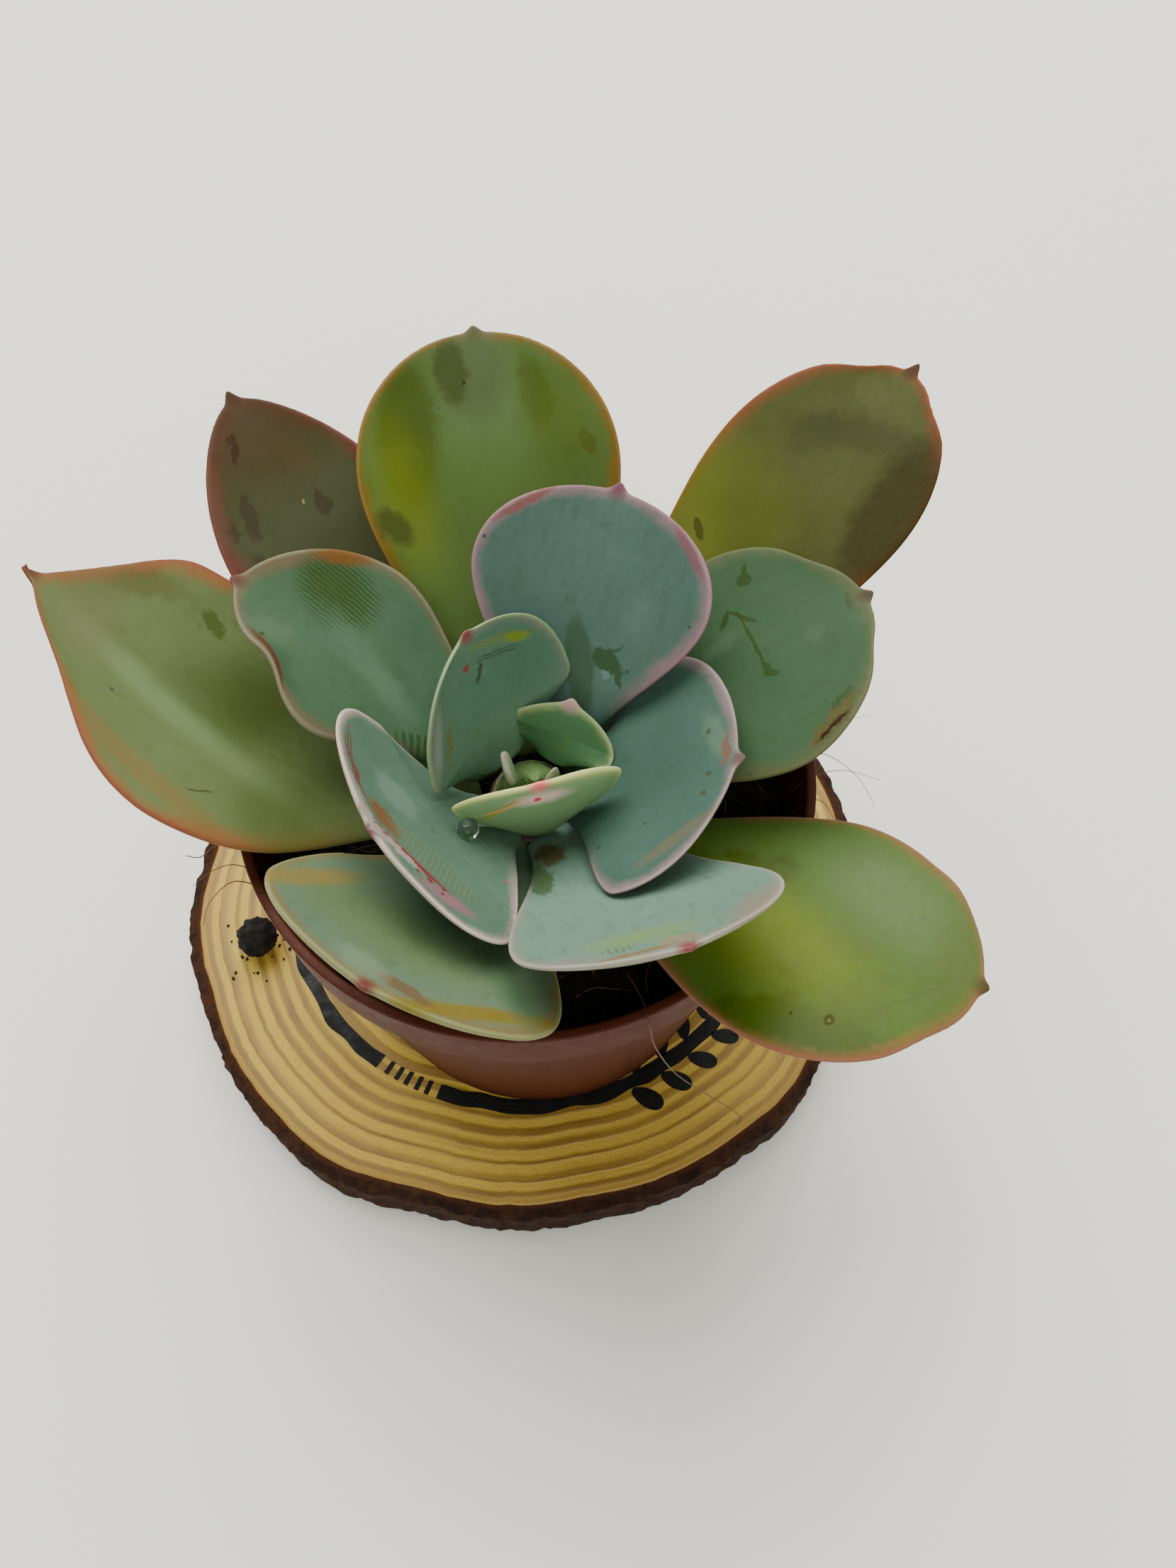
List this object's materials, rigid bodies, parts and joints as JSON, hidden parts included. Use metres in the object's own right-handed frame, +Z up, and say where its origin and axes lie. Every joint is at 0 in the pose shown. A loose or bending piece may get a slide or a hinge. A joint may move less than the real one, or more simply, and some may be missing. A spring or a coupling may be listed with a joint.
{
  "type": "potted succulent",
  "caption": "Rosette succulent with broad blue-green leaves in a small plastic nursery pot of peat, standing on a round slice of wood.",
  "frame": {"origin": "on the underside of the wood slice, at the point straight below the pot's axis", "axes": "+Z up along the pot's axis; -Y is the front, the side the rosette leans to; +X is to the right as seen from the front"},
  "size_m": [0.1013, 0.103, 0.0812],
  "materials": {
    "pine": "matte",
    "terracotta_plastic": "satin",
    "peat": "matte",
    "stem_bark": "matte",
    "leaf_skin": "satin"
  },
  "bodies": {
    "root": {"wood_slice": "pine", "pot": "terracotta_plastic", "peat_mix": "peat", "peat_crumb": "peat", "stem": "stem_bark", "leaf_01": "leaf_skin", "leaf_02": "leaf_skin", "leaf_03": "leaf_skin", "leaf_04": "leaf_skin", "leaf_05": "leaf_skin", "leaf_06": "leaf_skin", "leaf_07": "leaf_skin", "leaf_08": "leaf_skin", "leaf_09": "leaf_skin", "leaf_10": "leaf_skin", "leaf_11": "leaf_skin", "leaf_12": "leaf_skin", "leaf_13": "leaf_skin", "leaf_14": "leaf_skin", "leaf_15": "leaf_skin", "leaf_16": "leaf_skin", "leaf_17": "leaf_skin"}
  },
  "joints": []
}
